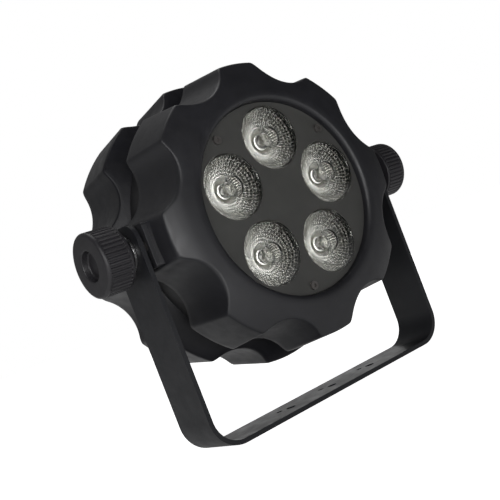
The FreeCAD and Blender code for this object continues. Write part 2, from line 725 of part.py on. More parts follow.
def make_power_inlet():
    """Inlet with a plug cavity, three blades and a slot below for the fuse drawer."""
    x, z = -POWER_X, POWER_Z
    face = REAR_FACE + SOCKET_FACE
    flange = block(x, z, *INLET_FLANGE, REAR_FACE, face)
    body = block(x, z, *INLET_BODY, INLET_BACK, REAR_FACE + 0.5)
    cavity = block(x, z + INLET_CAVITY_Z, *INLET_CAVITY, INLET_FLOOR, face + 1)
    slot = block(x, z + FUSE_Z, *FUSE_SLOT, FUSE_SLOT_FLOOR, face + 1)
    blades = [block(x + a, z + INLET_CAVITY_Z + b, 2.0, 4.0, INLET_FLOOR - 1, face - 3)
              for a, b in POWER_CONTACTS]
    return cut_all(flange.fuse(body), [cavity, slot]).multiFuse(blades)


def make_fuse_drawer():
    x, z = -POWER_X, POWER_Z + FUSE_Z
    face = REAR_FACE + SOCKET_FACE
    width, height = FUSE_SLOT
    tray = block(x, z, width - 0.2, height - 0.2, FUSE_SLOT_FLOOR + 1, face + 0.1)
    lip = block(x, z, width + 2, height + 1, face + 0.1, face + 1.2)
    cradle = block(x, z + 1.2, 20.4, 6.4, FUSE_AXIS - 2.7, FUSE_AXIS + 2.7)
    grip = block(x, z, 10, 2.0, face + 0.7, face + 2)
    return cut_all(tray.fuse(lip), [cradle, grip])


def make_fuse():
    """Cartridge fuse, 5 by 20 mm, lying across the drawer."""
    x, z = -POWER_X, POWER_Z + FUSE_Z + 0.55
    return cross_pin(2.5, x - 10, x + 10, FUSE_AXIS, z)


def make_power_outlet():
    x, z = POWER_X, POWER_Z
    face = REAR_FACE + SOCKET_FACE
    flange = block(x, z, *OUTLET_FLANGE, REAR_FACE, face)
    body = block(x, z, *OUTLET_BODY, OUTLET_BACK, REAR_FACE + 0.5)
    slots = [block(x + a, z + b, 2.4, 4.6, face - 14, face + 1) for a, b in POWER_CONTACTS]
    groove = block(x, z, 25, 17, face - 0.8, face + 1).cut(block(x, z, 22.6, 14.6, 0, face + 2))
    return cut_all(flange.fuse(body), slots + [groove])


def make_safety_eye():
    """Foot plate with a half loop of wire for a safety cable."""
    width, height, thick = EYE_FOOT
    foot = block(0, EYE_Z, width, height, REAR_FACE, REAR_FACE + thick)
    root = REAR_FACE + thick - 0.1
    loop = Part.makeTorus(EYE_LOOP, EYE_WIRE, head_point(0, root, EYE_Z), ALONG_Z)
    loop = loop.common(block(0, EYE_Z, 20, 8, root, root + 12))
    holes = [disc(M3_HOLE, REAR_FACE - 1, REAR_FACE + 3, sign * EYE_SCREW_X, EYE_Z)
             for sign in (-1, 1)]
    return cut_all(foot.fuse(loop), holes)


# ---- tilt pivot and knobs ----------------------------------------------------------------

def make_pivot_plate(sign):
    """Steel plate on the head's side boss that takes the knob's clamping force."""
    front, back = PLATE_DEPTHS
    middle = sign * (PLATE_INNER + PLATE_OUTER) / 2
    plate = block(middle, 0, PLATE_OUTER - PLATE_INNER, 2 * PLATE_HALF, front, back)
    plate = soften(plate, 2.0, lambda edge: edge.BoundBox.XLength > 2.5)
    holes = [cross_pin(STUD_RADIUS + STUD_CLEAR, sign * (PLATE_INNER - 1), sign * (PLATE_OUTER + 1))]
    for depth in PLATE_SCREWS:
        holes.append(cross_pin(M3_HOLE, sign * (PLATE_INNER - 1), sign * (PLATE_OUTER + 1), depth))
        holes.append(countersink(sign, depth, 0.05))
    return cut_all(plate, holes)


def countersink(sign, depth, grow=0.0):
    """Cone that opens to the plate's outer face."""
    outer = sign * PLATE_OUTER
    base = head_point(outer - sign * PLATE_SINK, depth, 0)
    return Part.makeCone(M3 + grow, M3 + PLATE_SINK + grow, PLATE_SINK, base, Vector(sign, 0, 0))


def make_pivot_plate_screws():
    screws = []
    for sign in SIDES.values():
        for depth in PLATE_SCREWS:
            shank = cross_pin(M3, sign * (PLATE_INNER - 9), sign * (PLATE_OUTER - 1), depth)
            screws.append(shank.fuse(countersink(sign, depth)))
    return screws


def make_threaded_insert(sign):
    body = cross_pin(INSERT_RADIUS, sign * BOSS_INNER, sign * PLATE_INNER)
    bore = cross_pin(STUD_RADIUS + STUD_RUNNING, sign * (BOSS_INNER - 1), sign * (PLATE_INNER + 1))
    return body.cut(bore)


def make_friction_washer(sign):
    body = cross_pin(FRICTION_RADIUS, sign * PLATE_OUTER, sign * FRICTION_OUTER)
    hole = cross_pin(STUD_RADIUS + STUD_CLEAR, sign * (PLATE_OUTER - 1), sign * (FRICTION_OUTER + 1))
    return body.cut(hole)


def make_knob_washer(sign):
    inner, outer = WASHER_FACES
    body = cross_pin(WASHER_RADIUS, sign * inner, sign * outer)
    return body.cut(cross_pin(STUD_RADIUS + STUD_CLEAR, sign * (inner - 1), sign * (outer + 1)))


def make_knob(sign):
    """Moulded knob: hub, plain inner flange, ribbed grip, rounded face and a finger dimple."""
    axis_at = head_point(0, PIVOT_DEPTH, 0)
    inner = WASHER_FACES[1]
    flange = KNOB_RADIUS - 0.3
    profile = [
        (inner, 0, 0),
        (inner, KNOB_HUB, 0.4),
        (KNOB_INNER, KNOB_HUB, 0.4),
        (KNOB_INNER, flange, 0.6),
        (KNOB_FLANGE, flange, 0),
        (KNOB_FLANGE, KNOB_RADIUS, 0),
        (KNOB_OUTER, KNOB_RADIUS, 1.8),
        (KNOB_OUTER, DIMPLE_RADIUS, 0.8),
        (KNOB_OUTER - DIMPLE_DEPTH, DIMPLE_RADIUS - 0.6, 1.0),
        (KNOB_OUTER - DIMPLE_DEPTH, 0, 0),
    ]
    wire = rounded_wire([(axis_at + Vector(sign * x, r, 0), rounding) for x, r, rounding in profile])
    body = Part.Face(wire).revolve(axis_at, ALONG_X, 360)
    grooves = []
    for i in range(KNOB_RIBS):
        depth, z = polar(KNOB_RADIUS + 0.1, 360.0 / KNOB_RIBS * i)
        grooves.append(cross_pin(KNOB_RIB_CUT, sign * KNOB_FLANGE, sign * KNOB_RIB_END,
                                 PIVOT_DEPTH + depth, z))
    grooves.append(cross_pin(STUD_RADIUS, sign * (inner - 1), sign * STUD_OUTER))
    return cut_all(body, grooves)


def make_knob_stud(sign):
    return cross_pin(STUD_RADIUS, sign * STUD_INNER, sign * STUD_OUTER)


# ---- assembly ----------------------------------------------------------------------------

def build_nodes():
    nodes = {
        "yoke": make_yoke(),
        "front_shell": make_front_shell(),
        "waist_band": make_waist_band(),
        "rear_shell": make_rear_shell(),
        "shell_screws": make_shell_screws(),
        "lens_panel": make_lens_panel(),
        "panel_screws": [screw(x, z, 0, 10) for x, z in post_places()],
        "led_board": make_led_board(),
        "heat_sink": make_heat_sink(),
        "heat_sink_screws": make_heat_sink_screws(),
        "board_bracket": make_board_bracket(),
        "board_standoffs": make_board_standoffs(),
        "board_screws": make_board_screws(),
        "power_supply_board": make_power_supply_board(),
        "control_board": make_control_board(),
        "display_module": make_display_module(),
        "display_window": make_display_window(),
        "led_cable": make_led_cable(),
        "rear_panel": make_rear_panel(),
        "rear_panel_screws": make_rear_panel_screws(),
        "dmx_in_socket": make_dmx_in_socket(),
        "dmx_out_socket": make_dmx_out_socket(),
        "dmx_out_latch": make_dmx_out_latch(),
        "power_inlet": make_power_inlet(),
        "power_outlet": make_power_outlet(),
        "fuse_drawer": make_fuse_drawer(),
        "fuse": make_fuse(),
        "safety_eye": make_safety_eye(),
        "pivot_plate_screws": make_pivot_plate_screws(),
    }
    for number, (x, z) in enumerate(lens_places(), start=1):
        nodes[f"lens_{number}"] = make_lens(x, z)
        nodes[f"lens_holder_{number}"] = make_lens_holder(x, z)
        nodes[f"led_{number}"] = make_led(x, z)
    for number, x in enumerate(BUTTON_X, start=1):
        nodes[f"menu_button_{number}"] = make_menu_button(x)
    for side, sign in SIDES.items():
        nodes[f"pivot_plate_{side}"] = make_pivot_plate(sign)
        nodes[f"threaded_insert_{side}"] = make_threaded_insert(sign)
        nodes[f"friction_washer_{side}"] = make_friction_washer(sign)
        nodes[f"knob_washer_{side}"] = make_knob_washer(sign)
        nodes[f"knob_{side}"] = make_knob(sign)
        nodes[f"knob_stud_{side}"] = make_knob_stud(sign)
    return nodes


def export(name, shape):
    """Write one node's solids as a STEP file."""
    pieces = shape if isinstance(shape, list) else [shape]
    solids = [solid for piece in pieces for solid in piece.Solids]
    node = solids[0] if len(solids) == 1 else Part.makeCompound(solids)
    node.exportStep(f"parts/{name}.step")
    valid = all(solid.isValid() for solid in solids)
    print(f"{name}: {len(solids)} solid(s), {node.Volume / 1000:.2f} cm3, valid {valid}")


os.makedirs("parts", exist_ok=True)
for node_name, node_shape in build_nodes().items():
    export(node_name, node_shape)
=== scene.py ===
import json
import math

import bmesh
import bpy
from mathutils import Matrix, Vector


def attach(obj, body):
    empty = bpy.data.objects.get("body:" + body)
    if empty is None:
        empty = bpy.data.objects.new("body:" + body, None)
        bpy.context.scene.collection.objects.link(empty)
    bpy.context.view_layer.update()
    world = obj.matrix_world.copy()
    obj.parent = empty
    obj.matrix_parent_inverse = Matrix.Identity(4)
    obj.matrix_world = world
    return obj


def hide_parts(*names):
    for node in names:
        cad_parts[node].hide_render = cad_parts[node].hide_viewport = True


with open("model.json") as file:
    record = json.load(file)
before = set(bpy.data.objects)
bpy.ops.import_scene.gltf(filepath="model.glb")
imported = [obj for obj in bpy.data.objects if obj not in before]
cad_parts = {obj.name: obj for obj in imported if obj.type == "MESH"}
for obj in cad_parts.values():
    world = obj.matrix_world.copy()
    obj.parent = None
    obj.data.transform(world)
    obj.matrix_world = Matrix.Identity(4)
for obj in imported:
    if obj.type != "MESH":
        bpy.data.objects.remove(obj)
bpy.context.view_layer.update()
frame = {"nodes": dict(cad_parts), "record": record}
MM = 0.001
PIVOT_HEIGHT = 130.7  # tilt axis above the underside of the cross-bar
PIVOT_DEPTH = 34.0  # tilt axis behind the face of the lens panel
SIDES = {"left": -1, "right": 1}


def head(x, depth, z):
    """A point of the head, in mm: depth behind the lens panel's face, z above the head's axis."""
    return Vector((x, depth - PIVOT_DEPTH, z + PIVOT_HEIGHT)) * MM


# ---------------------------------------------------------------- materials


def tree_of(name):
    made = bpy.data.materials.new(name)
    made.use_nodes = True
    nodes = made.node_tree.nodes
    return made, nodes, made.node_tree.links, nodes["Principled BSDF"]


def noise(nodes, links, scale, detail=4.0, rough=0.55, stretch=None):
    coords = nodes.new("ShaderNodeTexCoord")
    source = coords.outputs["Object"]
    if stretch:
        mapping = nodes.new("ShaderNodeMapping")
        mapping.inputs["Scale"].default_value = stretch
        links.new(source, mapping.inputs["Vector"])
        source = mapping.outputs["Vector"]
    texture = nodes.new("ShaderNodeTexNoise")
    texture.inputs["Scale"].default_value = scale
    texture.inputs["Detail"].default_value = detail
    texture.inputs["Roughness"].default_value = rough
    links.new(source, texture.inputs["Vector"])
    return texture.outputs["Fac"]


def ramp(nodes, links, source, stops):
    made = nodes.new("ShaderNodeValToRGB")
    elements = made.color_ramp.elements
    while len(elements) < len(stops):
        elements.new(0.5)
    for element, (place, colour) in zip(elements, stops):
        element.position = place
        element.color = (*colour, 1)
    links.new(source, made.inputs["Fac"])
    return made.outputs["Color"]


def spread(nodes, links, source, low, high):
    made = nodes.new("ShaderNodeMapRange")
    made.inputs["From Min"].default_value = 0.3
    made.inputs["From Max"].default_value = 0.7
    made.inputs["To Min"].default_value = low
    made.inputs["To Max"].default_value = high
    links.new(source, made.inputs["Value"])
    return made.outputs["Result"]


def bump(nodes, links, height, distance, under=None):
    made = nodes.new("ShaderNodeBump")
    made.inputs["Strength"].default_value = 1.0
    made.inputs["Distance"].default_value = distance
    links.new(height, made.inputs["Height"])
    if under:
        links.new(under, made.inputs["Normal"])
    return made.outputs["Normal"]


def surface(name, dark, light, rough, metal=0.0, patch=45.0, grain=2600.0, depth=2e-5,
            specular=0.5, stretch=None, coat=0.0, wave=0.0):
    """Colour in soft patches, varying gloss, and a fine grain over a slight waviness."""
    made, nodes, links, shader = tree_of(name)
    tone = noise(nodes, links, patch, stretch=stretch)
    links.new(ramp(nodes, links, tone, ((0.32, dark), (0.68, light))), shader.inputs["Base Color"])
    gloss = noise(nodes, links, patch * 3.1, 6.0, stretch=stretch)
    links.new(spread(nodes, links, gloss, rough - 0.06, rough + 0.06), shader.inputs["Roughness"])
    normal = None
    if wave:
        normal = bump(nodes, links, noise(nodes, links, 90.0, 2.0), wave)
    normal = bump(nodes, links, noise(nodes, links, grain, 2.0, stretch=stretch), depth, normal)
    links.new(normal, shader.inputs["Normal"])
    shader.inputs["Metallic"].default_value = metal
    shader.inputs["Specular IOR Level"].default_value = specular
    shader.inputs["Coat Weight"].default_value = coat
    shader.inputs["Coat Roughness"].default_value = 0.25
    return made


def clear(name, tint, rough, ior=1.49):
    """Clear optical plastic, with faint flow marks in its gloss."""
    made, nodes, links, shader = tree_of(name)
    flow = noise(nodes, links, 160.0, 3.0)
    links.new(spread(nodes, links, flow, rough, rough + 0.03), shader.inputs["Roughness"])
    links.new(bump(nodes, links, noise(nodes, links, 700.0, 2.0), 2e-6), shader.inputs["Normal"])
    shader.inputs["Base Color"].default_value = (*tint, 1)
    shader.inputs["Transmission Weight"].default_value = 1.0
    shader.inputs["IOR"].default_value = ior
    return made


MATERIALS = {
    "yoke_paint": surface("yoke_paint", (0.012, 0.0125, 0.015), (0.017, 0.0175, 0.020), 0.43,
                          grain=1900.0, depth=3.5e-5, specular=0.3, wave=6e-5),
    "front_shell_plastic": surface("front_shell_plastic", (0.010, 0.010, 0.012),
                                   (0.014, 0.014, 0.017), 0.42),
    "rear_shell_plastic": surface("rear_shell_plastic", (0.006, 0.006, 0.008),
                                  (0.009, 0.009, 0.012), 0.40, specular=0.36),
    "waist_plastic": surface("waist_plastic", (0.007, 0.007, 0.008), (0.010, 0.010, 0.011), 0.5),
    "lens_panel_paint": surface("lens_panel_paint", (0.036, 0.036, 0.034), (0.046, 0.046, 0.043),
                                0.5, grain=1800.0, depth=3e-5),
    "clear_optic": clear("clear_optic", (0.84, 0.84, 0.79), 0.03),
    "holder_plastic": surface("holder_plastic", (0.03, 0.03, 0.03), (0.04, 0.04, 0.04), 0.45),
    "emitter": surface("emitter", (0.46, 0.46, 0.42), (0.56, 0.56, 0.51), 0.5, patch=900.0,
                       grain=9000.0),
    "led_board_aluminium": surface("led_board_aluminium", (0.72, 0.72, 0.70), (0.8, 0.8, 0.78),
                                   0.35),
    "heat_sink_aluminium": surface("heat_sink_aluminium", (0.45, 0.45, 0.46), (0.55, 0.55, 0.56),
                                   0.38, metal=1.0, stretch=(1, 8, 1)),
    "bracket_steel": surface("bracket_steel", (0.42, 0.43, 0.44), (0.5, 0.51, 0.52), 0.42,
                             metal=1.0, patch=120.0),
    "spacer_brass": surface("spacer_brass", (0.62, 0.47, 0.2), (0.7, 0.54, 0.26), 0.32, metal=1.0),
    "zinc_screw": surface("zinc_screw", (0.5, 0.5, 0.5), (0.62, 0.62, 0.6), 0.32, metal=1.0,
                          patch=300.0),
    "black_screw": surface("black_screw", (0.10, 0.095, 0.09), (0.14, 0.13, 0.125), 0.4,
                           metal=0.7, patch=300.0),
    "circuit_board": surface("circuit_board", (0.008, 0.07, 0.03), (0.012, 0.1, 0.045), 0.4,
                             patch=260.0, coat=0.4),
    "display_frame": surface("display_frame", (0.02, 0.02, 0.022), (0.03, 0.03, 0.032), 0.5),
    "display_pane": surface("display_pane", (0.012, 0.004, 0.004), (0.018, 0.006, 0.006), 0.12,
                            depth=2e-6, coat=1.0),
    "cable_jacket": surface("cable_jacket", (0.02, 0.02, 0.02), (0.03, 0.03, 0.03), 0.55),
    "rear_panel_plastic": surface("rear_panel_plastic", (0.015, 0.015, 0.017),
                                  (0.021, 0.021, 0.024), 0.52, grain=1700.0, depth=4e-5),
    "dmx_metal": surface("dmx_metal", (0.34, 0.34, 0.34), (0.38, 0.38, 0.375), 0.36, metal=1.0,
                         patch=60.0),
    "latch_steel": surface("latch_steel", (0.46, 0.46, 0.46), (0.56, 0.56, 0.55), 0.26, metal=1.0,
                           patch=140.0),
    "socket_plastic": surface("socket_plastic", (0.012, 0.012, 0.013), (0.018, 0.018, 0.019), 0.38),
    "fuse_glass": clear("fuse_glass", (0.95, 0.97, 0.97), 0.03, 1.5),
    "eye_steel": surface("eye_steel", (0.4, 0.4, 0.41), (0.52, 0.52, 0.52), 0.34, metal=1.0,
                         patch=160.0),
    "button_plastic": surface("button_plastic", (0.05, 0.05, 0.053), (0.065, 0.065, 0.068), 0.45),
    "pivot_plate_paint": surface("pivot_plate_paint", (0.014, 0.014, 0.016),
                                 (0.020, 0.020, 0.023), 0.45, grain=1900.0, depth=3.5e-5),
    "insert_brass": surface("insert_brass", (0.6, 0.45, 0.2), (0.7, 0.54, 0.26), 0.3, metal=1.0),
    "friction_rubber": surface("friction_rubber", (0.012, 0.012, 0.012), (0.018, 0.018, 0.018),
                               0.7),
    "washer_steel": surface("washer_steel", (0.4, 0.4, 0.41), (0.52, 0.52, 0.52), 0.3, metal=1.0,
                            patch=200.0),
    "knob_plastic": surface("knob_plastic", (0.013, 0.012, 0.014), (0.019, 0.018, 0.021), 0.44),
    "stud_steel": surface("stud_steel", (0.4, 0.4, 0.41), (0.5, 0.5, 0.5), 0.3, metal=1.0),
}


def dress(piece, slot):
    piece.data.materials.clear()
    piece.data.materials.append(MATERIALS[slot])


# ---------------------------------------------------------------- mesh making


def rounded(corners, steps=6):
    """An outline of (along, radius) points; a third number rounds that corner off."""
    out = []
    last = len(corners) - 1
    for k, corner in enumerate(corners):
        here = Vector(corner[:2])
        size = corner[2] if len(corner) > 2 else 0
        if size == 0 or k in (0, last):
            out.append(tuple(here))
            continue
        before = (Vector(corners[k - 1][:2]) - here).normalized()
        after = (Vector(corners[k + 1][:2]) - here).normalized()
        half = before.angle(after) / 2
        reach = size / math.tan(half)
        centre = here + (before + after).normalized() * size / math.sin(half)
        start = here + before * reach - centre
        turn = start.angle_signed(here + after * reach - centre)
        for j in range(steps + 1):
            swing = Matrix.Rotation(-turn * j / steps, 2)
            out.append(tuple(centre + swing @ start))
    return out


def object_from(bm, name, slot, body, *nodes):
    bmesh.ops.remove_doubles(bm, verts=bm.verts, dist=1e-7)
    bmesh.ops.recalc_face_normals(bm, faces=bm.faces)
    mesh = bpy.data.meshes.new(name)
    bm.to_mesh(mesh)
    bm.free()
    for polygon in mesh.polygons:
        polygon.use_smooth = True
    made = bpy.data.objects.new(name, mesh)
    bpy.context.scene.collection.objects.link(made)
    mesh.set_sharp_from_angle(angle=math.radians(38))
    dress(made, slot)
    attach(made, body)
    if nodes:
        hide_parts(*nodes)
    return made


def revolve(bm, outline, place, steps, shape):
    """Turns an outline of (along, radius) points; place gives each point of the mesh."""
    rings = []
    for along, radius in outline:
        if radius < 1e-6:
            rings.append([bm.verts.new(place(along, 0, 0))])
            continue
        ring = []
        for k in range(steps):
            angle = 2 * math.pi * k / steps
            ring.append(bm.verts.new(place(along, shape(along, radius, angle), angle)))
        rings.append(ring)
    for first, second in zip(rings, rings[1:]):
        for k in range(steps):
            after = (k + 1) % steps
            corners = [first[k % len(first)], first[after % len(first)],
                       second[after % len(second)], second[k % len(second)]]
            corners = list(dict.fromkeys(corners))
            if len(corners) > 2:
                bm.faces.new(corners)


def head_place(x, z):
    def place(depth, radius, angle):
        return head(x + radius * math.cos(angle), depth, z + radius * math.sin(angle))
    return place


def side_place(side):
    def place(along, radius, angle):
        up = PIVOT_HEIGHT + radius * math.sin(angle)
        return Vector((side * along, radius * math.cos(angle), up)) * MM
    return place


# ---------------------------------------------------------------- lenses

LENS_RING = 40.6
LENS_FIRST = 11.9
LENS_RIBS = 46
LENS_ROWS = 7  # rows of facets from the lens's front to its back
RIB_DEPTH = 0.6
ROW_DEPTH = 0.25
CONE_FRONT = (1.5, 20.2)
CONE_BACK = (19.4, 7.4)
ROOF_RIPPLE = (0.16, 0.75)  # depth and pitch of the frosting rings over the emitter


def cone_radius(depth):
    share = (CONE_BACK[0] - depth) / (CONE_BACK[0] - CONE_FRONT[0])
    return CONE_BACK[1] + (CONE_FRONT[1] - CONE_BACK[1]) * share ** 0.72


def faceted(depth, radius, angle):
    """The lens's cone: convex facets in rows, so that it glitters."""
    if not CONE_FRONT[0] <= depth <= CONE_BACK[0] or radius < CONE_BACK[1] - 0.01:
        return radius
    share = (CONE_BACK[0] - depth) / (CONE_BACK[0] - CONE_FRONT[0])
    fade = min(1.0, (depth - CONE_FRONT[0]) / 2.0)
    across = 1 - abs(math.sin(LENS_RIBS * angle / 2))
    along = 1 - abs(math.sin(math.pi * LENS_ROWS * share))
    return radius - fade * (RIB_DEPTH * across + ROW_DEPTH * along)


def make_lens(number):
    angle = math.radians(LENS_FIRST + 72.0 * (number - 1))
    x = LENS_RING * math.cos(angle)
    z = LENS_RING * math.sin(angle)
    steps = LENS_ROWS * 6
    cone = []
    for k in range(steps + 1):
        depth = CONE_BACK[0] + (CONE_FRONT[0] - CONE_BACK[0]) * k / steps
        cone.append((depth, cone_radius(depth)))
    ripple, pitch = ROOF_RIPPLE
    roof = []
    for k in range(20):
        radius = 4.6 * k / 19
        roof.append((9.6 + ripple * math.cos(2 * math.pi * radius / pitch), radius))
    pocket = roof + [(10.4, 4.75), (18.8, 4.9), (19.4, 5.3)]
    front = rounded([(1.4, 20.4), (1.2, 21.2, 0.1), (-0.8, 21.2, 0.35), (-0.8, 7.0, 0.3),
                     (0.5, 6.6, 0.3), (0.4, 5.9)], 4)
    dome = [(0.15, 4.4), (-0.05, 2.9), (-0.18, 1.4), (-0.22, 0)]
    bm = bmesh.new()
    revolve(bm, pocket + cone + front + dome, head_place(x, z), LENS_RIBS * 8, faceted)
    object_from(bm, f"clear_lens_{number}", "clear_optic", "head", f"lens_{number}")


for number in range(1, 6):
    make_lens(number)

# ---------------------------------------------------------------- shells

TEETH = 8
COLUMNS = 88 * TEETH
FRONT_SCALLOP = ((1.3, 29.5, 109.5), (39.0, 28.5, 114.0))
REAR_SCALLOP = ((64.0, 28.5, 118.0), (107.0, 29.5, 117.0))
SCALLOP_SOFTNESS = 3.4
FLAT_SOFTNESS = 0.5
SIDE_FLAT = 98.5
WALL = 3.0
NO_LIMIT = 1000.0  # a radius where nothing cuts the shell
# Corners of the shells' profiles: (depth, radius)
FRONT_RIM = (1.0, 92.0)
FRONT_BACK = (39.0, 96.0)
WAIST = (54.0, 84.0)
REAR_FRONT = (63.0, 101.0)
REAR_RIM = (107.0, 96.6)
WAIST_BORE = 77.5
LIP_INSIDE = 68.0
PANEL_SEAT = 95.0  # depth of the ledge under the rear panel
PANEL_RECESS = 83.8  # radius of the recess that holds the rear panel
LEDGE_FRONT = 92.0
BOSS_LOW = (88.0, 15.0, -13.5)  # corners of the block behind a pivot plate: x, depth, z
BOSS_HIGH = (96.0, 48.0, 13.5)
FRONT_ROUNDING = 2.6
SHOULDER_ROUNDING = 2.2
REAR_ROUNDING = 1.8
FOOT_ROUNDING = 0.8
BACK_EDGE = ((-0.3, 0.02), (-0.1, 0.12), (0.0, 0.4))  # the front shell's back edge: depth and inset


def blend(first, second, softness):
    """The smaller of two radii, with the corner between them rounded."""
    gap = max(softness - abs(first - second), 0.0) / softness
    return min(first, second) - gap * gap * softness / 4


def scallop_radius(ends, depth, angle):
    """Where a ray from the head's axis meets the round cutter between two teeth."""
    (front, front_cut, front_centre), (back, back_cut, back_centre) = ends
    share = (depth - front) / (back - front)
    cut = front_cut + (back_cut - front_cut) * share
    centre = front_centre + (back_centre - front_centre) * share
    pitch = 2 * math.pi / TEETH
    swing = abs(angle % pitch - pitch / 2)
    across = centre * math.sin(swing)
    if across >= cut:
        return NO_LIMIT
    return centre * math.cos(swing) - math.sqrt(cut * cut - across * across)


def on_line(place, start, end):
    """The second coordinate, at a place, of a line through two points."""
    return start[1] + (end[1] - start[1]) * (place - start[0]) / (end[0] - start[0])


def rounded_corner(before, corner, after, size, steps=5):
    return rounded([before, (*corner, size), after], steps)[1:-1]


def run(start, end, count, along):
    """Points between two places, start and end left out; along gives the point at a place."""
    return [along(start + (end - start) * k / (count + 1)) for k in range(1, count + 1)]


def loft(name, column, slot, node, extra=()):
    """Joins one closed outline per angle round the head's axis."""
    bm = bmesh.new()
    rings = []
    for k in range(COLUMNS):
        angle = 2 * math.pi * k / COLUMNS
        rings.append([bm.verts.new(head(radius * math.cos(angle), depth, radius * math.sin(angle)))
                      for depth, radius in column(angle)])
    count = len(rings[0])
    for first, second in zip(rings, rings[1:] + rings[:1]):
        for k in range(count):
            after = (k + 1) % count
            bm.faces.new((first[k], first[after], second[after], second[k]))
    for add in extra:
        add(bm)
    return object_from(bm, name, slot, "head", node)


def add_block(bm, low, high, rounding):
    """A block between two corners (x, depth, z) of the head, with rounded edges."""
    verts = []
    for x in (low[0], high[0]):
        for depth in (low[1], high[1]):
            verts += [bm.verts.new(head(x, depth, z)) for z in (low[2], high[2])]
    faces = ((0, 1, 3, 2), (4, 6, 7, 5), (0, 4, 5, 1), (2, 3, 7, 6), (0, 2, 6, 4), (1, 5, 7, 3))
    made = [bm.faces.new([verts[i] for i in face]) for face in faces]
    edges = list({edge for face in made for edge in face.edges})
    bmesh.ops.bevel(bm, geom=edges, offset=rounding * MM, segments=3, profile=0.5,
                    affect="EDGES", clamp_overlap=True)


DOME = [(depth, radius) for depth, radius in rounded(
    [(6.0, 64.6), (-5.0, 64.6, 3.2), (-5.0, 70.2, 20.0), (-3.2, 81.2, 55.0), FRONT_RIM,
     (2.9, 97.0)], 8)]
DOME_START = 7  # the first of DOME's points that runs outwards


def dome_depth(radius):
    for first, second in zip(DOME[DOME_START:], DOME[DOME_START + 1:]):
        if first[1] <= radius <= second[1] and second[1] > first[1]:
            return on_line(radius, first[::-1], second[::-1])
    return DOME[-1][0]


def front_wall(depth, angle):
    tooth = on_line(depth, FRONT_RIM, FRONT_BACK)
    return blend(tooth, scallop_radius(FRONT_SCALLOP, depth, angle), SCALLOP_SOFTNESS)


def front_column(angle):
    depth = FRONT_RIM[0]
    for _ in range(12):  # settles where the dome meets the wall
        depth = dome_depth(front_wall(depth, angle))
    radius = front_wall(depth, angle)
    inward = (dome_depth(radius - 0.5), radius - 0.5)
    inward = (depth + (inward[0] - depth) * 14, radius - 7.0)
    further = (depth + 8.0, front_wall(depth + 8.0, angle))
    rim = rounded_corner(inward, (depth, radius), further, FRONT_ROUNDING, 6)
    lip = [point for point in DOME[:DOME_START + 2] if point[1] < LIP_INSIDE]
    out = lip + run(lip[-1][1], rim[0][1], 14, lambda r: (dome_depth(r), r)) + rim
    back = FRONT_BACK[0]
    out += run(rim[-1][0], back - 0.4, 12, lambda d: (d, front_wall(d, angle)))
    edge = front_wall(back, angle)
    out += [(back + step, edge - inset) for step, inset in BACK_EDGE]
    out += [(back, WAIST[1]), (back, WAIST_BORE), (back - WALL, WAIST_BORE)]
    inside = front_wall(6.0, angle)
    out += [(back - WALL, edge - WALL - 0.6), (6.0, inside - WALL - 0.6), (1.6, 76.0)]
    return out + [(-1.2, LIP_INSIDE), (6.0, LIP_INSIDE)]


def add_bosses(bm):
    for side in SIDES.values():
        near, far = sorted((side * BOSS_LOW[0], side * BOSS_HIGH[0]))
        add_block(bm, (near, *BOSS_LOW[1:]), (far, *BOSS_HIGH[1:]), 0.5)


def side_limit(angle):
    """The flat that lets the rear shell's side teeth pass the yoke's arms."""
    side = abs(math.cos(angle))
    return SIDE_FLAT / side if side > 0.5 else NO_LIMIT


def rear_outline(tooth, depth, angle):
    radius = blend(tooth, scallop_radius(REAR_SCALLOP, depth, angle), SCALLOP_SOFTNESS)
    return blend(radius, side_limit(angle), FLAT_SOFTNESS)


def rear_wall(depth, angle):
    ends = (WAIST, REAR_FRONT) if depth < REAR_FRONT[0] else (REAR_FRONT, REAR_RIM)
    return rear_outline(on_line(depth, *ends), depth, angle)


def rear_column(angle):
    depth = 60.0
    outer = REAR_FRONT[1]
    for _ in range(25):  # settles where the shoulder meets the wall
        tooth = on_line(max(depth, REAR_FRONT[0]), REAR_FRONT, REAR_RIM)
        outer = rear_outline(tooth, depth, angle)
        depth = on_line(outer, WAIST[::-1], REAR_FRONT[::-1])
    foot = rounded_corner((WAIST[0], 78.0), WAIST, (depth, outer), FOOT_ROUNDING, 3)
    further = min(depth + 9.0, 100.0)
    beyond = (further, rear_wall(further, angle))
    shoulder = rounded_corner(WAIST, (depth, outer), beyond, SHOULDER_ROUNDING, 5)
    back = REAR_RIM[0]
    edge = rear_wall(back, angle)
    before = (100.0, rear_wall(100.0, angle))
    rim = rounded_corner(before, (back, edge), (back, edge - 6.0), REAR_ROUNDING, 5)
    dish = rounded([(back, 86.0), (back, PANEL_RECESS, 0.8), (PANEL_SEAT, PANEL_RECESS),
                    (PANEL_SEAT, WAIST_BORE), (LEDGE_FRONT, WAIST_BORE)], 4)
    out = [(WAIST[0], WAIST_BORE)] + foot
    out += run(foot[-1][0], shoulder[0][0], 2, lambda d: (d, on_line(d, foot[-1], shoulder[0])))
    out += shoulder + run(shoulder[-1][0], rim[0][0], 14, lambda d: (d, rear_wall(d, angle)))
    out += rim + dish
    inner = WAIST[0] + WALL
    out += [(LEDGE_FRONT, edge - WALL - 0.8), (68.0, rear_wall(68.0, angle) - WALL - 0.8)]
    return out + [(inner, WAIST[1]), (inner, WAIST_BORE)]


loft("front_housing", front_column, "front_shell_plastic", "front_shell", [add_bosses])
loft("rear_housing", rear_column, "rear_shell_plastic", "rear_shell")

# ---------------------------------------------------------------- knobs

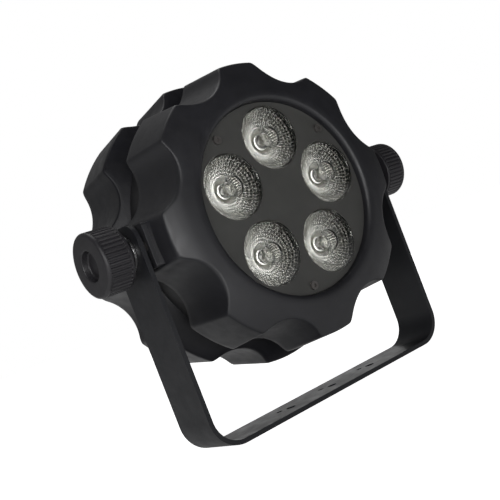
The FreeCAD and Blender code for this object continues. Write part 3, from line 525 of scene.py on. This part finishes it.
KNOB_RIBS = 44
KNOB_RADIUS = 20.0
RIB_ZONE = (112.75, 126.9)
RIB_PLACES = (112.76, 112.96, 114.0, 117.0, 120.0, 123.0, 125.5, 126.45, 126.65, 126.8, 126.9)
GROOVE = 0.8
GROOVE_HALF = 0.042  # half a groove's width, as an angle


def grooved(along, radius, angle):
    if not RIB_ZONE[0] <= along <= RIB_ZONE[1] or radius < KNOB_RADIUS - 0.5:
        return radius
    pitch = 2 * math.pi / KNOB_RIBS
    offset = abs((angle / pitch + 0.5) % 1 - 0.5) * pitch
    if offset >= GROOVE_HALF:
        return radius
    fade = min(1.0, (RIB_ZONE[1] - along) / 0.45, (along - RIB_ZONE[0]) / 0.2)
    return radius - GROOVE * max(0.0, fade) * math.sqrt(1 - (offset / GROOVE_HALF) ** 2)


def make_knob(side_name, side):
    back = rounded([(105.6, 0), (105.6, 11.5, 0.4), (110.8, 11.5, 0.4), (110.8, 19.7, 0.6),
                    (112.6, 19.7, 0.1), (112.7, KNOB_RADIUS)], 4)
    ribs = [(place, KNOB_RADIUS) for place in RIB_PLACES]
    crown = rounded([(127.2, KNOB_RADIUS), (129.3, KNOB_RADIUS, 1.9), (129.3, 9.5, 0.8),
                     (124.8, 8.9, 1.2), (124.8, 0)], 8)
    bm = bmesh.new()
    revolve(bm, back + ribs + crown, side_place(side), KNOB_RIBS * 14, grooved)
    node = f"knob_{side_name}"
    object_from(bm, f"ribbed_{node}", "knob_plastic", node, node)


for side_name, side in SIDES.items():
    make_knob(side_name, side)

# ---------------------------------------------------------------- CAD nodes that stay

# The width in millimetres of the small round along each node's edges
SOFT_EDGES = {
    "yoke": 0.5, "pivot_plate_left": 0.4, "pivot_plate_right": 0.4, "rear_panel": 0.3,
    "dmx_in_socket": 0.25, "dmx_out_socket": 0.25, "dmx_out_latch": 0.2, "power_inlet": 0.3,
    "power_outlet": 0.3, "fuse_drawer": 0.2, "safety_eye": 0.25, "display_window": 0.15,
    "knob_washer_left": 0.2, "knob_washer_right": 0.2,
}


def soften_edges(node, width):
    weld = node.modifiers.new("weld", "WELD")
    weld.merge_threshold = 1e-6
    merge = node.modifiers.new("merge", "DECIMATE")
    merge.decimate_type = "DISSOLVE"
    merge.angle_limit = math.radians(0.5)
    bevel = node.modifiers.new("edges", "BEVEL")
    bevel.width = width
    bevel.segments = 3
    bevel.limit_method = "ANGLE"
    bevel.angle_limit = math.radians(40)
    bevel.harden_normals = True
    even = node.modifiers.new("even", "WEIGHTED_NORMAL")
    even.weight = 100
    even.keep_sharp = True


for row in frame["record"]["subparts"]:
    node_name = row["node"]
    node = frame["nodes"][node_name]
    dress(node, row["material_slot"])
    if node_name in SOFT_EDGES:
        soften_edges(node, SOFT_EDGES[node_name] * MM)

# ---------------------------------------------------------------- stage

FLOOR_GLOW = 0.22  # what the paper gives the object; the camera sees it white


def white_to_camera(tree, others, socket):
    """Sets a strength to 1 for the camera's own rays, and to a value or an output for all others."""
    seen = tree.nodes.new("ShaderNodeLightPath")
    level = tree.nodes.new("ShaderNodeMix")
    level.data_type = "FLOAT"
    level.inputs["B"].default_value = 1.0
    tree.links.new(seen.outputs["Is Camera Ray"], level.inputs["Factor"])
    if isinstance(others, float):
        level.inputs["A"].default_value = others
    else:
        tree.links.new(others, level.inputs["A"])
    tree.links.new(level.outputs["Result"], socket)


floor_bm = bmesh.new()
bmesh.ops.create_grid(floor_bm, x_segments=8, y_segments=8, size=6.0)
floor_mesh = bpy.data.meshes.new("floor")
floor_bm.to_mesh(floor_mesh)
floor_bm.free()
floor = bpy.data.objects.new("floor", floor_mesh)
floor.location = (0, 0, -0.0002)
bpy.context.scene.collection.objects.link(floor)
paper = surface("floor_paper", (0.86, 0.86, 0.86), (0.88, 0.88, 0.88), 0.8, grain=400.0)
paper_shader = paper.node_tree.nodes["Principled BSDF"]
paper_shader.inputs["Emission Color"].default_value = (1, 1, 1, 1)
white_to_camera(paper.node_tree, FLOOR_GLOW, paper_shader.inputs["Emission Strength"])
floor_mesh.materials.append(paper)


def area_light(name, place, target, size, power):
    lamp = bpy.data.lights.new(name, "AREA")
    lamp.shape = "RECTANGLE"
    lamp.size = size[0]
    lamp.size_y = size[1]
    lamp.energy = power
    made = bpy.data.objects.new(name, lamp)
    made.location = place
    aim = Vector(target) - Vector(place)
    made.rotation_euler = aim.to_track_quat("-Z", "Y").to_euler()
    made.visible_camera = False
    bpy.context.scene.collection.objects.link(made)


centre = (0.0, 0.0, 0.12)
area_light("near_camera", (-0.75, -0.62, 0.42), centre, (0.5, 0.5), 3.0)
area_light("low_front", (-0.5, -1.15, 0.16), (0.0, -0.03, 0.12), (0.7, 0.2), 4.5)
area_light("table_glow", (-0.12, -0.62, 0.004), (-0.12, -0.62, 1.0), (0.55, 0.5), 1.3)
area_light("behind_right", (0.85, 1.05, 0.16), (0.0, 0.0, 0.0), (0.8, 0.3), 1.1)
area_light("top", (0.1, 0.25, 1.3), centre, (0.7, 0.7), 3.0)

world = bpy.data.worlds.new("studio")
bpy.context.scene.world = world
world.use_nodes = True
world_nodes = world.node_tree.nodes
world_links = world.node_tree.links
backdrop = world_nodes["Background"]
backdrop.inputs["Color"].default_value = (1, 1, 1, 1)
direction = world_nodes.new("ShaderNodeTexCoord")
axes = world_nodes.new("ShaderNodeSeparateXYZ")
world_links.new(direction.outputs["Generated"], axes.inputs["Vector"])
behind = world_nodes.new("ShaderNodeMapRange")
behind.interpolation_type = "SMOOTHSTEP"
behind.inputs["From Min"].default_value = -0.2
behind.inputs["From Max"].default_value = 0.9
behind.inputs["To Min"].default_value = 0.03
behind.inputs["To Max"].default_value = 0.22
world_links.new(axes.outputs["Y"], behind.inputs["Value"])
white_to_camera(world.node_tree, behind.outputs["Result"], backdrop.inputs["Strength"])

# ---------------------------------------------------------------- camera

FOCAL_LENGTH = 61.11
CAMERA_PLACE = (-0.3485, -0.4547, 0.0954)
CAMERA_FORWARD = (0.62273, 0.78207, -0.02409)
CAMERA_UP = (0.29601, -0.20698, 0.93249)

lens = bpy.data.cameras.new("camera")
lens.sensor_width = 36
lens.lens = FOCAL_LENGTH
lens.shift_x = -0.0983
lens.shift_y = 0.0471
lens.clip_start = 0.01
camera = bpy.data.objects.new("camera", lens)
forward = Vector(CAMERA_FORWARD).normalized()
right = forward.cross(Vector(CAMERA_UP)).normalized()
up = right.cross(forward)
turn = Matrix((right, up, -forward)).transposed().to_4x4()
camera.matrix_world = Matrix.Translation(CAMERA_PLACE) @ turn
bpy.context.scene.collection.objects.link(camera)
bpy.context.scene.camera = camera
bpy.context.scene.view_settings.view_transform = "Standard"
